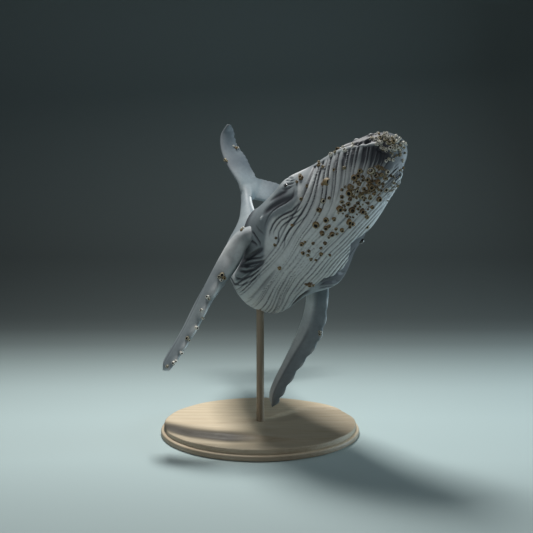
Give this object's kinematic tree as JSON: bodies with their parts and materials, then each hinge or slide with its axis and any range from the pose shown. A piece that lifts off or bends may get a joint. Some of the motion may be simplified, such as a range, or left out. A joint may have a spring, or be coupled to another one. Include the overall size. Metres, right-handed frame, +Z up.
{
  "type": "humpback whale figurine on stand",
  "caption": "Breaching humpback whale figurine in cast resin, carried by a wooden dowel post on a round two-tier carved wooden base.",
  "frame": {"origin": "centre of the flat felt underside of the base, on the table plane", "axes": "+Z up along the post, -Y towards the viewer of the picture, +X to the viewer's right, where the head leans; the tail is towards +Y"},
  "size_m": [0.2425, 0.4343, 0.361],
  "materials": {
    "felt": "wool felt",
    "base_wood": "fine sanded pale hardwood, clear matt oil",
    "post_wood": "sanded hardwood dowel",
    "screw_brass": "plain countersunk screw",
    "resin": "cast resin with a matt grey paint wash",
    "pin_steel": "plain steel rod",
    "eye_glass": "polished black bead"
  },
  "bodies": {
    "root": {"base_felt": "felt", "base_plinth": "base_wood", "base_top": "base_wood", "post": "post_wood", "post_screw": "screw_brass", "whale_body": "resin", "right_flipper": "resin", "left_flipper": "resin", "tail_fluke": "resin", "right_flipper_pin": "pin_steel", "left_flipper_pin": "pin_steel", "fluke_pin": "pin_steel", "right_eye": "eye_glass", "left_eye": "eye_glass"}
  },
  "joints": []
}
